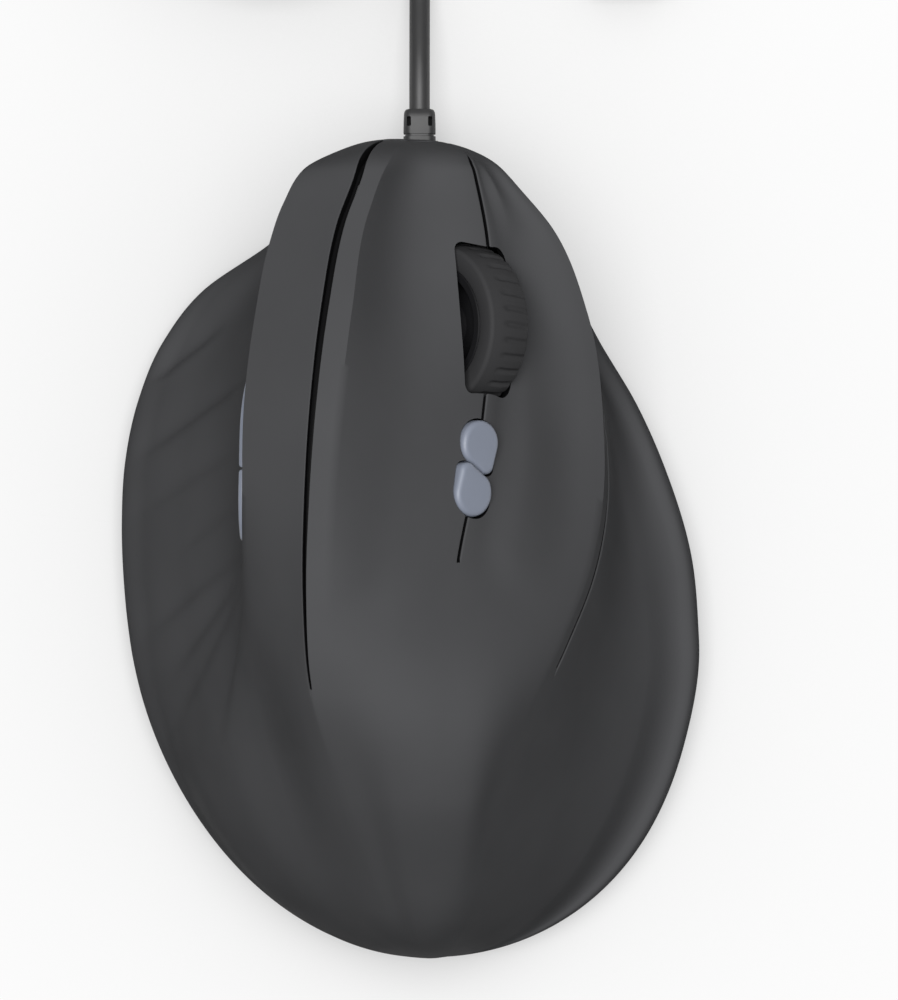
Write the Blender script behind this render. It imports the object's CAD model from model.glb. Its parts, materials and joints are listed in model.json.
"""Looks of a vertical ergonomic mouse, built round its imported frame."""

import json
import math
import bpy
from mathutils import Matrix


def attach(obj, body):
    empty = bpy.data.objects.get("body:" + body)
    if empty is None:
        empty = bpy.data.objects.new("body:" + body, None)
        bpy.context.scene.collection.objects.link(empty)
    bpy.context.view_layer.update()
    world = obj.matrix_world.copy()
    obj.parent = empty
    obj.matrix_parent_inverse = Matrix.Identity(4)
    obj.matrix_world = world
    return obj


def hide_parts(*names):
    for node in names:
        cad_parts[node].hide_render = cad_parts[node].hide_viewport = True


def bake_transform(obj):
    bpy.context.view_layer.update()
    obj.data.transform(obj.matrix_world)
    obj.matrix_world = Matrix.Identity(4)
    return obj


bl_info = {
    "name": "Vertical Mouse",
    "version": (1, 0, 0),
    "blender": (4, 5, 0),
    "location": "View3D > Sidebar > Mouse",
    "description": "Builds the visible pieces of a vertical ergonomic mouse on its frame",
    "category": "Object",
}

import bmesh
import bpy
import numpy as np
from bpy.props import FloatProperty, FloatVectorProperty, IntProperty, PointerProperty

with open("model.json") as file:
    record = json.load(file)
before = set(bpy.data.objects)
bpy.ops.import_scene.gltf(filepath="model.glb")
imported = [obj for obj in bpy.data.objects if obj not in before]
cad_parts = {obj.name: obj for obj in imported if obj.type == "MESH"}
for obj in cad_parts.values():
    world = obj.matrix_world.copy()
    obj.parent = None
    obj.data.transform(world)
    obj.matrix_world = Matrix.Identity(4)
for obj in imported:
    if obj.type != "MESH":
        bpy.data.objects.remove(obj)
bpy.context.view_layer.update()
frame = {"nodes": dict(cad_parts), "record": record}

MM = 0.001

# Rails along the body as [forward, across, up] in millimetres
LIP_LEFT = [[62.5, -9, 5], [57, -13, 5], [48, -21, 5], [40.4, -31.8, 5], [32.7, -37.9, 5], [23.4, -41.9, 5],
            [14, -43.9, 5], [5, -44.4, 5], [-8, -43.8, 5], [-20, -42.2, 5], [-36, -40.3, 5],
            [-62.5, -38.2, 5]]
ROOT_LEFT = [[62.5, -8.5, 10], [57, -12, 10], [47, -19, 11], [36, -27, 13], [22, -32.5, 19], [8, -34.3, 21.5],
             [-6, -34.2, 22], [-20, -34.3, 22.5], [-36, -35.3, 23.5], [-62.5, -35.5, 22]]
WALL_LEFT = [[62.5, -8.5, 22], [57, -13, 24], [47, -17.8, 26], [36, -21.6, 29], [22, -24, 34], [8, -24.9, 37],
             [-6, -26, 38], [-20, -27.6, 37.5], [-36, -28.5, 36], [-62.5, -28, 36]]
BROW_LEFT = [[62.5, -9.5, 38], [60.4, -11.5, 39.5], [57.4, -15.3, 42], [52, -18.5, 44.5], [46, -20.5, 47],
             [36, -22.4, 51], [22, -24, 55.5], [8, -24.2, 56.5], [-6, -23.8, 52.5], [-20, -22.5, 47],
             [-36, -20.5, 44.5], [-50, -19.5, 45], [-62.5, -18.5, 50]]
GROOVE = [[62.5, -6.9, 43.5], [57, -7.7, 47], [49, -10.4, 52], [36, -12.7, 59], [22, -14.2, 64], [8, -15, 66],
          [-6, -15.2, 66], [-20, -14.3, 62.5], [-36, -11, 56], [-50, -9, 54], [-62.5, -8, 61]]
SEAM = [[62.5, 8.6, 36], [57, 9.9, 37.4], [47, 11.8, 39], [35, 12.3, 40.5], [22, 11.3, 43], [10, 9.6, 47],
        [0, 7.6, 51.5], [-12, 6, 57], [-24, 5, 61], [-36, 4.7, 61], [-50, 4.3, 58.5], [-62.5, 4, 67]]
BROW_RIGHT = [[62.5, 10.2, 29.5], [60, 12, 31.6], [57, 14, 33], [48, 21.4, 32.4], [36, 26.4, 29.2],
              [22, 29, 26.5], [8, 29.2, 28.8], [-4, 26.5, 35.5], [-14, 22.2, 43.5], [-24, 17.5, 49.5],
              [-36, 14, 53], [-50, 13.5, 52.5], [-62.5, 14, 59]]
WALL_RIGHT = [[62.5, 8, 19], [57, 11.5, 20], [48, 18.5, 19], [36, 24.6, 17], [22, 30, 15.8], [8, 33, 15.5],
              [-4, 35.2, 15.5], [-14, 36.2, 15], [-24, 36, 15.5], [-36, 35, 17.5], [-50, 34, 21],
              [-62.5, 33.5, 24]]
ROOT_RIGHT = [[62.5, 7, 10], [57, 10.5, 10], [48, 16.5, 10.5], [40, 21.8, 10.5], [30, 28, 10.2],
              [20, 33.2, 10], [10, 37, 9.9], [0, 40, 9.9], [-14, 41.3, 9.5], [-28, 41.5, 9], [-40, 41.5, 9.3],
              [-62.5, 42, 12]]
LIP_RIGHT = [[62.5, 8, 5], [57, 12, 5], [48, 19.5, 5], [40, 25, 5], [32, 29.3, 5], [23.4, 34.5, 5],
             [12, 39.6, 5], [0, 43.2, 5], [-13, 44.5, 5], [-30, 44.5, 5], [-50, 45.9, 5], [-62.5, 47.2, 5]]

# Widths and depths in millimetres, rises and the sharpness of rails along the body, as [forward, value]
STRIP_WIDTH = [[62.5, 6], [60, 4.2], [57, 3.1], [50, 3], [36, 3.5], [10, 3.3], [-62.5, 3]]
STRIP_RISE = [[62.5, -0.12], [0, -0.12], [-20, 0.15], [-36, 0.42], [-62.5, 0.42]]
GROOVE_GAP = [[62.5, 1.2], [50, 1.2], [20, 0.9], [0, 0.6], [-20, 0.3], [-62.5, 0.3]]
GROOVE_RISE = [[62.5, 0.15], [0, 0.15], [-20, 0.3], [-36, 0.55], [-62.5, 0.55]]
INDEX_SCOOP = [[62.5, 1.5], [52, 2.6], [36, 2.8], [22, 1.4], [8, 0.2], [-6, -0.8], [-20, -1.4], [-62.5, -1]]
MIDDLE_SCOOP = [[62.5, 0.3], [52, 1.1], [36, 2.4], [22, 2.7], [8, 1.6], [-6, -0.3], [-20, -1.6], [-62.5, -1]]
SKIRT_GAP = [[62.5, 1], [50, 1], [0, 0.6], [-17, 0.5], [-62.5, 0.5]]
BROW_LEFT_CREASE = [[62.5, 0.6], [50, 1], [10, 0.9], [-4, 0.3], [-14, 0], [-62.5, 0]]
RIDGE_CREASE = [[62.5, 1], [-10, 1], [-22, 0.6], [-34, 0], [-62.5, 0]]
STRIP_CREASE = [[62.5, 1], [20, 1], [4, 0.5], [-10, 0], [-62.5, 0]]
BROW_RIGHT_CREASE = [[62.5, 0.6], [50, 0.9], [0, 0.9], [-12, 0.6], [-24, 0.1], [-62.5, 0]]

# Ends of the body, where its section is drawn in, and the shares of the shelves and scoops across it
NOSE_TIP, NOSE_START, NOSE_POWER, NOSE_CENTRE = 62.5, 56.5, 2.5, np.array([-0.6, 22.0])
TAIL_TIP, TAIL_START, TAIL_CENTRE = -62.5, -14.0, np.array([3.1, 5.0])
NOSE_UP, TAIL_UP = 13.0, 3.5
FACE_ANGLE, BUTTON_ANGLE, FORWARD_ANGLES = 64.0, 59.0, (60, 70)
GROUND_GAP, BASE_INSET = 0.7, 3.2
SHELF_SHARES, SCOOP_SHARES = ([0.36, 0.41], [0.3, 0.83]), (0.45, 0.42)

# Gaps and walls, the rail numbers beside the gaps, where the gaps end, and the slit's turn at the nose
SLIT, CUFF_HEIGHT, CUFF_GAP, WALL, PLATE = 0.6, 2.6, 1.2, 1.9, 1.2
THUMB_BROW, GROOVE_LEFT, GROOVE_RIGHT, SLIT_LEFT, SLIT_RIGHT, CUFF_TOP, CUFF_LOW = 5, 6, 7, 10, 11, 14, 15
SLIT_MIDDLE, MIDDLE_RAIL, LAST_RAIL = 10.5, 12, 20
GROOVE_END, SLIT_END, CUFF_END, SIDE_ROW_END = -19.6, -1.2, -17.0, -15.0
FLEX_RAILS = [5, 6, 7, 8, 9, 10, 11, 12, 13]
FLEX_ENDS = [SIDE_ROW_END, GROOVE_END, GROOVE_END, -16.66, -9.66, SLIT_END, SLIT_END, -9.1, CUFF_END]
WINDOW_LOW, WINDOW_HIGH = 4.62, 4.93
WINDOW_FRONT, WINDOW_BACK = 26.4, 1.65
TURN_START, TURN_RAILS, TURN_SLIT = 58.0, 1.2, 0.3

# Depth of the index finger's hollow and heights of the middle finger's and the brow's swell on the plates
INDEX_HOLLOW = [[62.5, 0], [60, 0], [56, 0.55], [48, 0.55], [40, 0.3], [34, 0], [26, -0.4], [20, -0.3],
                [12, 0], [-62.5, 0]]
MIDDLE_SWELL = [[62.5, 0], [60, 0], [55, 1.0], [50, 0.8], [45, 0.4], [40, 0.6], [34, 1.2], [24, 1.6],
                [14, 1.9], [6, 1.5], [0, 1.0], [-8, 0], [-62.5, 0]]
SWELL_SPAN, FLEX_FADE = (0.14, 0.86), 9.0
BROW_SWELL, BROW_SWELL_WIDTH, BROW_SWELL_SPAN = 0.6, 0.45, [14, 34, 55, 61]

# The deck's tilt and directions, the wheel in it and the wheel's slot
DECK_TILT = math.radians(42)
DECK_ACROSS = np.array([math.cos(DECK_TILT), 0, -math.sin(DECK_TILT)])
DECK_OUT = np.array([math.sin(DECK_TILT), 0, math.cos(DECK_TILT)])
FORWARD = np.array([0.0, 1.0, 0.0])
WHEEL_FORWARD, WHEEL_RADIUS, WHEEL_WIDTH, WHEEL_PROUD, TYRE_DEPTH = 34.0, 12.5, 7.6, 4.9, 3.5
SLOT_SIDE, SLOT_END, SLOT_LEAN, SLOT_CORNERS = 0.6, 0.8, 1.8, (1.3, 2.6)

# Speed keys: their places along the body with the way of their tips, and the drop's oval, tip and belly
SPEED_PLACES = ((16.0, -1), (9.3, 1))
SPEED_OVAL, OVAL_BACK, SPEED_TIP, TIP_RADIUS = np.array([3.498, 3.3]), 0.5, np.array([-1.3, 3.0]), 1.2
BELLY, BELLY_WIDTH, SPEED_GAP, SPEED_ROUND, SPEED_REACH = 0.3, 0.6, 0.3, 0.75, 3.1

# Thumb keys: where they meet, the gaps along the body, the inset in rails, and their form
THUMB_SPLIT, THUMB_GAP, THUMB_INSET = 12.62, 0.3, 0.0135
THUMB_BULGE, THUMB_ROUND, THUMB_DEPTH = 0.55, 0.5, 1.6

# Cord, as in the frame
CORD_DIAMETER, CORD_LENGTH, CORD_ACROSS, CORD_UP = 3.2, 1500.0, 1.5, 9.0
LEAD_POINTS = [[1.5, 68, 9], [1.5, 71, 9], [1.5, 75, 8.4], [1.5, 80, 6.8], [1.5, 85, 4.8], [1.5, 90, 3.2],
               [1.5, 95, 2.4], [1.5, 100, 2.4], [1.5, 105, 2.4], [1.5, 109.8, 2.4]]
TAIL_POINTS = [[1.5, 116.2, 13.65], [1.5, 119, 13.65], [1.7, 123, 13.2], [3.2, 129, 12.2], [6.8, 133.8, 11],
               [11.8, 136.8, 9.6], [17.5, 137.8, 8.2], [23.2, 136.8, 6.8], [28.2, 133.8, 5.6],
               [31.8, 129, 4.6], [33.3, 123.5, 4.1], [33.5, 120, 4], [33.5, 117, 4]]
COIL_PITCH, COIL_LAYERS, COIL_TURNS, COIL_LOW, COIL_FORWARD, COIL_STEPS = 3.75, 4, 3, 2.4, 113.0, 48

# Creases of the thumb rest as two plan points [across, forward] and a depth in millimetres
THUMB_CREASES = [([-29.8, 34.3], [-39.3, 27.1], 0.8), ([-25.1, 26.6], [-39.3, 16.6], 0.8),
                 ([-25.6, 16.3], [-40.0, 7.2], 0.45), ([-25.1, 8.4], [-33.7, 1.5], 0.4),
                 ([-24.5, 1.9], [-38.4, -10.6], 0.75), ([-24.5, -0.3], [-35.5, -16.8], 0.75),
                 ([-25.0, -3.3], [-36.2, -27.0], 0.6), ([-24.4, -5.7], [-28.3, -24.9], 0.5)]
CREASE_FRONT, CREASE_BACK, CREASE_LIMIT = 2.8, 0.85, 1.2
CREASE_SPAN, CREASE_RAILS, IN_AND_OUT = [-0.25, 0.25, 0.75, 1.35], [1.2, 1.8, 4.25, 4.75], [0, 1, 1, 0]

# Stage: the camera and the lamp in metres and watts, the floor in millimetres, its halo in metres and shares
VIEW_WIDTH, SENSOR_WIDTH, CAMERA_PLACE = 0.155, 36, (0.00602, 0.008, 1.0)
LAMP_PLACE, LAMP_SIZE, LAMP_POWER, SKY_STRENGTH = (-0.06, 0.14, 1.6), 1.1, 29.5, 0.03
FLOOR_RADIUS, FLOOR_DROP, FLOOR_SIDES, FLOOR_BOUNCE = 4000, 0.02, 64, 0.06
HALO_REACH, HALO_POWER, GLOW_SHARE = 0.3, 0.5, 0.7


def colour_setting(name, description, default):
    """A colour setting with its first value."""
    return FloatVectorProperty(name=name, description=description, subtype="COLOR", size=3, min=0, max=1,
                               default=default)


class MouseLook(bpy.types.PropertyGroup):
    """Colours and surface sizes that a user would change"""

    shell_colour: colour_setting("Shell colour", "Colour of the soft coated shell and buttons",
                                 (0.082, 0.0828, 0.0865))
    base_colour: colour_setting("Base colour", "Colour of the base plate and of the inner mouldings",
                                (0.020, 0.020, 0.022))
    key_colour: colour_setting("Key colour", "Colour of the thumb keys and the speed keys",
                               (0.262, 0.290, 0.359))
    wheel_colour: colour_setting("Wheel colour", "Colour of the wheel's rubber tyre", (0.046, 0.046, 0.048))
    cord_colour: colour_setting("Cord colour", "Colour of the cord's jacket", (0.046, 0.046, 0.047))
    floor_colour: colour_setting("Floor colour", "Colour of the floor under the mouse", (0.95, 0.95, 0.95))
    edge_round: FloatProperty(
        name="Edge round", description="Radius of the moulded edges along the gaps", unit="LENGTH",
        min=0.00005, max=0.0008, default=0.0002)
    rib_depth: FloatProperty(
        name="Rib depth", description="Depth of the notches in the wheel's tyre", unit="LENGTH",
        min=0, max=0.001, default=0.00035)
    rib_count: IntProperty(
        name="Ribs", description="Notches round the wheel's tyre", min=24, max=40, default=32)


def look():
    """The scene's settings of colours and surface sizes."""
    return bpy.context.scene.mouse_look


# Body surface

def unit(a):
    """Vectors of length one along the last axis."""
    return a / np.maximum(np.linalg.norm(a, axis=-1, keepdims=True), 1e-9)


def full_turn(count):
    """Angles evenly round a full turn."""
    return np.linspace(0, 2 * np.pi, count, endpoint=False)


def run_along(path):
    """Length of a path of points up to each of them."""
    steps = np.linalg.norm(np.diff(path, axis=0), axis=1)
    return np.concatenate([[0], np.cumsum(steps)])


def grid_normals(p):
    """Directions square to a grid of points."""
    return unit(np.cross(np.gradient(p, axis=0), np.gradient(p, axis=1)))


def ease(t):
    """Smooth step: 0 up to t = 0, 1 from t = 1 on, and a cubic with level ends between them."""
    t = np.clip(t, 0, 1)
    return t * t * (3 - 2 * t)


def fair_curve(points, y):
    """Cubic through [forward, values...] points, read at the distances y.

    The slope at a point is the mean of its two chords' slopes, each weighted by the other chord's span.
    """
    p = np.array(points, float)[::-1]
    t, value = p[:, 0], p[:, 1:]
    span = np.diff(t)
    chord = np.diff(value, axis=0) / span[:, None]
    inner = (chord[:-1] * span[1:, None] + chord[1:] * span[:-1, None]) / (span[:-1] + span[1:])[:, None]
    slope = np.vstack([chord[:1], inner, chord[-1:]])
    k = np.clip(np.searchsorted(t, y) - 1, 0, len(span) - 1)
    s = ((y - t[k]) / span[k])[:, None]
    h = span[k][:, None]
    return hermite(value[k], value[k + 1], h * slope[k], h * slope[k + 1], s)


def hermite(a, b, slope_a, slope_b, s):
    """Cubic from a to b with the given end slopes, at the share s."""
    return (a * (2 * s**3 - 3 * s**2 + 1) + slope_a * (s**3 - 2 * s**2 + s)
            + b * (3 * s**2 - 2 * s**3) + slope_b * (s**3 - s**2))


def measure(points, y):
    """One value that changes along the body, as a column."""
    return fair_curve(points, y)[:, :1]


def nose_share(y):
    """Share of the full section near the nose: a superellipse quarter from 1 down to 0."""
    t = np.clip((y - NOSE_START) / (NOSE_TIP - NOSE_START), 0, 1)
    return (1 - t**NOSE_POWER) ** (1 / NOSE_POWER)


def tail_share(y):
    """Share of the full section near the tail: an ellipse quarter from 1 down to 0."""
    t = np.clip((TAIL_START - y) / (TAIL_START - TAIL_TIP), 0, 1)
    return np.sqrt(1 - t**2)


def sunk(a, b, share, depth):
    """Point a share of the way from a to b, sunk under that line by depth."""
    d = unit(b - a)
    return a + (b - a) * share - np.stack([-d[:, 1], d[:, 0]], 1) * depth


def section(y):
    """Rail points [across, up] of the sections at y, from the left base edge over the top to the right."""
    left, right = fair_curve(LIP_LEFT, y), fair_curve(LIP_RIGHT, y)
    foot_left, foot_right = fair_curve(ROOT_LEFT, y), fair_curve(ROOT_RIGHT, y)
    ridge, crown, edge = fair_curve(GROOVE, y), fair_curve(SEAM, y), fair_curve(BROW_RIGHT, y)
    flank = fair_curve(WALL_RIGHT, y)
    gap, strip = measure(GROOVE_GAP, y), measure(STRIP_WIDTH, y)
    level = np.ones((len(y), 1))
    ridge_top = ridge + gap * np.hstack([level, measure(GROOVE_RISE, y)])
    deck = ridge_top + strip * np.hstack([level, measure(STRIP_RISE, y)])
    closing = np.maximum(nose_share(y), 0.5)[:, None]
    over = unit(edge - deck) * SLIT / 2 / closing
    down = unit(flank - edge)
    skirt = measure(SKIRT_GAP, y) * CUFF_GAP / closing
    shelf_left = left + (foot_left - left) * SHELF_SHARES[0]
    shelf_right = right + (foot_right - right) * SHELF_SHARES[1]
    rails = np.stack([
        left, shelf_left, foot_left, fair_curve(WALL_LEFT, y), fair_curve(BROW_LEFT, y), ridge, ridge_top,
        deck, sunk(deck, crown, SCOOP_SHARES[0], measure(INDEX_SCOOP, y)), crown - over, crown + over,
        sunk(crown, edge, SCOOP_SHARES[1], measure(MIDDLE_SCOOP, y)), edge, edge + down * CUFF_HEIGHT,
        edge + down * (CUFF_HEIGHT + skirt), flank, foot_right, shelf_right, right], 1)
    nose, tail = nose_share(y)[:, None, None], tail_share(y)[:, None, None]

    def drawn_in(q):
        n = NOSE_CENTRE + (q - NOSE_CENTRE) * nose
        return TAIL_CENTRE + (n - TAIL_CENTRE) * tail

    base = drawn_in(np.stack([left + [BASE_INSET, 0], right - [BASE_INSET, 0]], 1))
    base[:, :, 1] = GROUND_GAP
    return np.concatenate([base[:, :1], drawn_in(rails), base[:, 1:]], 1)


def creases(y):
    """Sharpness of each rail at y: 1 for an edge, 0 for a smooth turn."""
    sharp = np.zeros((len(y), LAST_RAIL + 1))
    sharp[:, THUMB_BROW] = measure(BROW_LEFT_CREASE, y)[:, 0]
    sharp[:, GROOVE_LEFT:GROOVE_RIGHT + 1] = measure(RIDGE_CREASE, y)
    sharp[:, GROOVE_RIGHT + 1] = measure(STRIP_CREASE, y)[:, 0]
    sharp[:, MIDDLE_RAIL + 1] = measure(BROW_RIGHT_CREASE, y)[:, 0]
    return np.clip(sharp, 0, 1)[:, :, None]


def skin(y, v):
    """Points of the body's skin at the distances y and rail numbers v, two arrays of one shape.

    Between two rails the section is a Hermite cubic. Its end directions are the mean of the two chords there,
    each weighted by the other's length, or the chord itself where the rail is a sharp edge.
    """
    shape, y, v = y.shape, y.ravel(), v.ravel()
    q, sharp = section(y), creases(y)
    chord = np.diff(q, axis=1)
    size = np.linalg.norm(chord, axis=2, keepdims=True) + 1e-9
    step = chord / size
    mean = (step[:, :-1] * size[:, 1:] + step[:, 1:] * size[:, :-1]) / (size[:, :-1] + size[:, 1:])
    mean = np.concatenate([step[:, :1], mean, step[:, -1:]], 1)
    n = np.arange(len(y))
    k = np.clip(np.floor(v).astype(int), 0, LAST_RAIL - 1)
    start = mean[n, k] * (1 - sharp[n, k]) + step[n, k] * sharp[n, k]
    stop = mean[n, k + 1] * (1 - sharp[n, k + 1]) + step[n, k] * sharp[n, k + 1]
    p = hermite(q[n, k], q[n, k + 1], size[n, k] * start, size[n, k] * stop, (v - k)[:, None])
    return np.stack([p[:, 0], y, p[:, 1]], 1).reshape(*shape, 3)


def skin_point(y, v):
    """One point of the skin."""
    return skin(np.array([float(y)]), np.array([float(v)]))[0]


DECK_POINT = skin_point(WHEEL_FORWARD, SLIT_MIDDLE)
AXLE = DECK_POINT - DECK_OUT * (WHEEL_RADIUS - WHEEL_PROUD)


def seam_turn(y, v):
    """Rail numbers with the slit moved over to the right at the nose, where the seam runs straight on.

    The slit moves by a smooth step and takes up less of a rail. The rails beside it give way evenly.
    """
    right = SLIT_RIGHT + TURN_RAILS * ease((y - TURN_START) / (NOSE_TIP - TURN_START))
    left = right - 1 + (1 - TURN_SLIT) * np.clip((right - SLIT_RIGHT) / TURN_SLIT, 0, 1)
    first, last = GROOVE_RIGHT + 1, MIDDLE_RAIL + 1
    before = first + (v - first) / (SLIT_LEFT - first) * (left - first)
    within = left + (v - SLIT_LEFT) * (right - left)
    after = right + (v - SLIT_RIGHT) / (last - SLIT_RIGHT) * (last - right)
    moved = np.where(v <= SLIT_LEFT, before, np.where(v < SLIT_RIGHT, within, after))
    return np.where((v > first) & (v < last), moved, v)


def flex_at(v):
    """Where the buttons' rear ends flex, along the body."""
    return np.interp(v, FLEX_RAILS, FLEX_ENDS)


def body_columns():
    """Rail numbers of the grid's columns: spans of even steps, and fine steps away from each gap's edge."""
    fine = np.array([0, 0.05, 0.12, 0.21, 0.32, 0.5])
    edges = [(WINDOW_LOW, -22), (WINDOW_HIGH, 22), (GROOVE_LEFT, -10), (GROOVE_RIGHT, 3.3), (SLIT_LEFT, -12),
             (SLIT_RIGHT, 10), (CUFF_TOP, -3), (CUFF_LOW, 10)]
    spans = [(0, 1, 6), (1, 2, 7), (2, 3, 13), (3, 4, 25), (4, 4.59, 14), (4.97, 5, 2), (5, 5 + 11 / 13, 11),
             (GROOVE_RIGHT + fine[-1] / 3.3, 8, 4), (8, 9, 12), (9, 9 + 11 / 13, 11), (SLIT_RIGHT, 12, 11),
             (12, 13, 11), (13, 13.5, 2), (CUFF_LOW, 16, 13), (16, 17, 15), (17, 18, 7), (18, 19, 7),
             (19, LAST_RAIL, 6)]
    columns = [edge + fine / share for edge, share in edges]
    columns += [np.linspace(start, stop, steps + 1) for start, stop, steps in spans]
    return np.unique(np.round(np.concatenate(columns), 6))


def body_rows():
    """Rows of the grid as angles round the nose, shares along the body and angles round the tail."""
    nose = np.concatenate([[86, 82, 78, 75, 72, 70, 68, 66.5, 65.5, 64.8, 64.3, FACE_ANGLE],
                           [BUTTON_ANGLE, 58.8, 58.4, 57.8, 57, 56], np.linspace(54, 3, 22)])
    length = NOSE_START - SIDE_ROW_END
    gaps = np.array([-0.5, -0.3, -0.2, -0.1, -0.04, 0, 0.1, 0.3]) / length
    front, back = (NOSE_START - WINDOW_FRONT) / length, (NOSE_START - WINDOW_BACK) / length
    body = np.unique(np.round(np.concatenate([np.linspace(0, 1, 86), front + gaps, back - gaps]), 6))
    tail = np.linspace(0, 86, 66)[1:]
    return nose, body, tail


class BodyGrid:
    """The whole skin on one grid, with its normals, from which the shell and the buttons are cut."""

    def __init__(self):
        nose, body, tail = body_rows()
        self.columns = body_columns()
        v = np.broadcast_to(self.columns, (len(nose) + len(body) + len(tail), len(self.columns)))
        flex = flex_at(self.columns)
        around = NOSE_START + (NOSE_TIP - NOSE_START) * np.sin(np.radians(nose)) ** (2 / NOSE_POWER)
        y = np.vstack([
            np.broadcast_to(around[:, None], (len(nose), len(flex))),
            NOSE_START + (flex - NOSE_START) * body[:, None],
            flex + (TAIL_TIP - flex) * np.sin(np.radians(tail))[:, None]])
        self.points = skin(y, seam_turn(y, v))
        self.normals = grid_normals(self.points)
        ahead = np.interp(nose, FORWARD_ANGLES, [0, 1])[:, None, None]
        self.normals[:len(nose)] = unit(self.normals[:len(nose)] * (1 - ahead) + FORWARD * ahead)
        self.face = int(np.argmin(abs(nose - FACE_ANGLE)))
        self.button = int(np.argmin(abs(nose - BUTTON_ANGLE)))
        self.flex = len(nose) + len(body) - 1
        length = NOSE_START - SIDE_ROW_END
        self.window = [len(nose) + int(np.argmin(abs(body - (NOSE_START - at) / length)))
                       for at in (WINDOW_FRONT, WINDOW_BACK)]

    def column(self, v):
        """Index of the column at rail number v."""
        return int(np.argmin(abs(self.columns - v)))

    def beyond(self, rows, columns):
        """Distance of each point from a rectangle of rows and columns, measured over the skin."""
        p = self.points
        row, column = np.arange(p.shape[0]), np.arange(p.shape[1])
        to_row = np.linalg.norm(p - p[np.clip(row, *rows)], axis=2)
        to_column = np.linalg.norm(p - p[:, np.clip(column, *columns)], axis=2)
        return np.hypot(to_row, to_column)


def edge_drop(distance, radius):
    """How far a rounded edge falls away at a distance from the edge: a quarter circle."""
    inside = np.clip(radius - distance, 0, radius)
    return radius - np.sqrt(radius**2 - inside**2)


def edge_fall(p, radius, *edges):
    """How far each point of a grid falls for the rounding of the given edges: the most that one asks for."""
    return np.max([edge_drop(np.linalg.norm(p - edge, axis=2), radius) for edge in edges], axis=0)


# Mesh making

def grid_faces(keep):
    """Faces of a closed wall between an outer and an inner grid, over the cells that keep marks.

    Each kept cell gives an outer and an inner face, and a side face wherever its neighbour isn't kept.
    """
    m, n = keep.shape[0] + 1, keep.shape[1] + 1
    out = np.arange(m * n).reshape(m, n)
    inn = out + m * n
    held = np.pad(keep, 1)

    def quads(mask, *corners):
        return np.stack([c[mask] for c in corners], 1)

    a, b, c, d = out[:-1, :-1], out[1:, :-1], out[1:, 1:], out[:-1, 1:]
    e, f, g, h = inn[:-1, :-1], inn[1:, :-1], inn[1:, 1:], inn[:-1, 1:]
    return np.concatenate([
        quads(keep, a, b, c, d), quads(keep, h, g, f, e),
        quads(keep & ~held[:-2, 1:-1], a, d, h, e), quads(keep & ~held[2:, 1:-1], c, b, f, g),
        quads(keep & ~held[1:-1, :-2], b, a, e, f), quads(keep & ~held[1:-1, 2:], d, c, g, h)])


def make_piece(name, points, quads, triangles=None, sharp=38, coated=None):
    """A mesh object from points in millimetres and index arrays, with its faces turned outwards.

    The sign of the volume under all faces says whether they point in or out. The quads after the first coated
    ones get the second material.
    """
    triangles = np.zeros((0, 3), int) if triangles is None else triangles
    used, index = np.unique(np.concatenate([quads.ravel(), triangles.ravel()]), return_inverse=True)
    points = points.reshape(-1, 3)[used] * MM
    quads, triangles = index[:quads.size].reshape(-1, 4), index[quads.size:].reshape(-1, 3)
    fan = np.concatenate([quads[:, :3], quads[:, [0, 2, 3]], triangles])
    a, b, c = points[fan[:, 0]], points[fan[:, 1]], points[fan[:, 2]]
    if np.einsum("ij,ij->", a, np.cross(b, c)) < 0:
        quads, triangles = quads[:, ::-1], triangles[:, ::-1]
    mesh = bpy.data.meshes.new(name)
    mesh.from_pydata(points, [], quads.tolist() + triangles.tolist())
    if coated:
        bare = np.zeros(len(mesh.polygons), np.int32)
        bare[coated:len(quads)] = 1
        mesh.polygons.foreach_set("material_index", bare)
    joined = bmesh.new()
    joined.from_mesh(mesh)
    bmesh.ops.remove_doubles(joined, verts=joined.verts, dist=2e-6)
    joined.to_mesh(mesh)
    joined.free()
    piece = bpy.data.objects.new(name, mesh)
    bpy.context.scene.collection.objects.link(piece)
    smooth(piece, sharp)
    return piece


def smooth(piece, sharp=38):
    """Smooth shading, with edges sharper than the angle kept."""
    mesh = piece.data
    mesh.polygons.foreach_set("use_smooth", np.ones(len(mesh.polygons), bool))
    mesh.set_sharp_from_angle(angle=math.radians(sharp))
    mesh.update()


def ring_faces(rows, sides, loop):
    """Quads between rings of points, round each ring and from ring to ring."""
    i, k = np.meshgrid(np.arange(rows if loop else rows - 1), np.arange(sides), indexing="ij")
    j, after = (i + 1) % rows, (k + 1) % sides
    corners = [i * sides + k, i * sides + after, j * sides + after, j * sides + k]
    return np.stack(corners, -1).reshape(-1, 4)


def loft(name, rings, loop=False, sharp=38):
    """A closed surface through rings of points: round each ring, and end caps as fans unless it loops."""
    rows, sides = rings.shape[:2]
    quads = ring_faces(rows, sides, loop)
    points, triangles = rings.reshape(-1, 3), None
    if not loop:
        k = np.arange(sides)
        first, last = rows * sides, rows * sides + 1
        points = np.concatenate([points, rings[:1].mean(1), rings[-1:].mean(1)])
        end = (rows - 1) * sides
        triangles = np.concatenate([
            np.stack([(k + 1) % sides, k, np.full(sides, first)], 1),
            np.stack([end + k, end + (k + 1) % sides, np.full(sides, last)], 1)])
    return make_piece(name, points, quads, triangles, sharp)


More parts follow.
